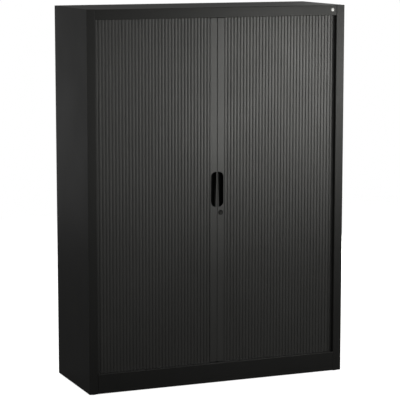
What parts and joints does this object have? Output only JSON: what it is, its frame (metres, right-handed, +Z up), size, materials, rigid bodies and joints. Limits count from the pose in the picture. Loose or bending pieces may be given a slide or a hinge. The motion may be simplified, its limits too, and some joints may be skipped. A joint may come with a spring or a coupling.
{
  "type": "tambour door cabinet",
  "caption": "Tall steel storage cabinet whose two ribbed tambour doors slide sideways round the front corners, with shelves, finger cups and a cam lock.",
  "frame": {"origin": "on the floor, in the middle of the footprint", "axes": "+X to the right seen from the front, +Y to the back, +Z up; the doors face -Y"},
  "size_m": [1.2, 0.43, 1.651],
  "materials": {
    "casing_paint": "fine textured powder coat, anthracite",
    "inner_paint": "powder coat, anthracite",
    "slat_plastic": "extruded, fine satin",
    "rail_plastic": "extruded, fine satin",
    "black_plastic": "moulded, fine grain",
    "zinc_steel": "zinc plated",
    "lock_metal": "dark nickel plated",
    "rubber": "moulded"
  },
  "bodies": {
    "cabinet": {"left_side_panel": "casing_paint", "right_side_panel": "casing_paint", "top_panel": "casing_paint", "plinth_panel": "casing_paint", "back_panel": "casing_paint", "base_plate": "casing_paint", "roof_plate": "casing_paint", "floor_tray": "inner_paint", "bottom_front_track": "black_plastic", "top_front_track": "black_plastic", "left_bottom_side_track": "black_plastic", "left_top_side_track": "black_plastic", "right_bottom_side_track": "black_plastic", "right_top_side_track": "black_plastic", "left_liner": "inner_paint", "right_liner": "inner_paint", "inner_back_panel": "inner_paint", "left_door_buffer": "rubber", "right_door_buffer": "rubber", "left_front_upright": "inner_paint", "right_front_upright": "inner_paint", "left_rear_upright": "inner_paint", "right_rear_upright": "inner_paint", "left_front_shelf_clip_1": "zinc_steel", "right_front_shelf_clip_1": "zinc_steel", "left_rear_shelf_clip_1": "zinc_steel", "right_rear_shelf_clip_1": "zinc_steel", "left_front_shelf_clip_2": "zinc_steel", "right_front_shelf_clip_2": "zinc_steel", "left_rear_shelf_clip_2": "zinc_steel", "right_rear_shelf_clip_2": "zinc_steel", "left_front_shelf_clip_3": "zinc_steel", "right_front_shelf_clip_3": "zinc_steel", "left_rear_shelf_clip_3": "zinc_steel", "right_rear_shelf_clip_3": "zinc_steel", "shelf_1": "inner_paint", "shelf_2": "inner_paint", "shelf_3": "inner_paint", "left_front_foot_bracket": "casing_paint", "right_front_foot_bracket": "casing_paint", "left_rear_foot_bracket": "casing_paint", "right_rear_foot_bracket": "casing_paint"},
    "left_door": {"left_lead_rail": "rail_plastic", "left_curtain": "slat_plastic", "left_finger_cup": "black_plastic", "left_bottom_guide_shoe": "black_plastic", "left_top_guide_shoe": "black_plastic", "lock_striker": "zinc_steel"},
    "right_door": {"right_lead_rail": "rail_plastic", "right_curtain": "slat_plastic", "right_finger_cup": "black_plastic", "right_bottom_guide_shoe": "black_plastic", "right_top_guide_shoe": "black_plastic", "lock_bezel": "lock_metal"},
    "lock_cylinder": {"lock_plug": "lock_metal", "lock_hook": "zinc_steel"},
    "left_front_foot": {"left_front_levelling_foot": "zinc_steel"},
    "right_front_foot": {"right_front_levelling_foot": "zinc_steel"},
    "left_rear_foot": {"left_rear_levelling_foot": "zinc_steel"},
    "right_rear_foot": {"right_rear_levelling_foot": "zinc_steel"}
  },
  "joints": [
    {"name": "left_door_slide", "type": "slide", "parent": "cabinet", "child": "left_door", "axis": [-1, 0, 0], "range_m": [0, 0.512], "deforming": ["left_curtain"]},
    {"name": "right_door_slide", "type": "slide", "parent": "cabinet", "child": "right_door", "axis": [1, 0, 0], "range_m": [0, 0.512], "deforming": ["right_curtain"]},
    {"name": "lock_turn", "type": "hinge", "parent": "right_door", "child": "lock_cylinder", "pos_m": [0.01675, -0.19, 0.758], "axis": [0, 1, 0], "range_deg": [0, 90]},
    {"name": "left_front_foot_turn", "type": "hinge", "parent": "cabinet", "child": "left_front_foot", "pos_m": [-0.576, -0.191, 0.02], "axis": [0, 0, 1], "continuous": true},
    {"name": "right_front_foot_turn", "type": "hinge", "parent": "cabinet", "child": "right_front_foot", "pos_m": [0.576, -0.191, 0.02], "axis": [0, 0, 1], "continuous": true},
    {"name": "left_rear_foot_turn", "type": "hinge", "parent": "cabinet", "child": "left_rear_foot", "pos_m": [-0.576, 0.191, 0.02], "axis": [0, 0, 1], "continuous": true},
    {"name": "right_rear_foot_turn", "type": "hinge", "parent": "cabinet", "child": "right_rear_foot", "pos_m": [0.576, 0.191, 0.02], "axis": [0, 0, 1], "continuous": true}
  ]
}
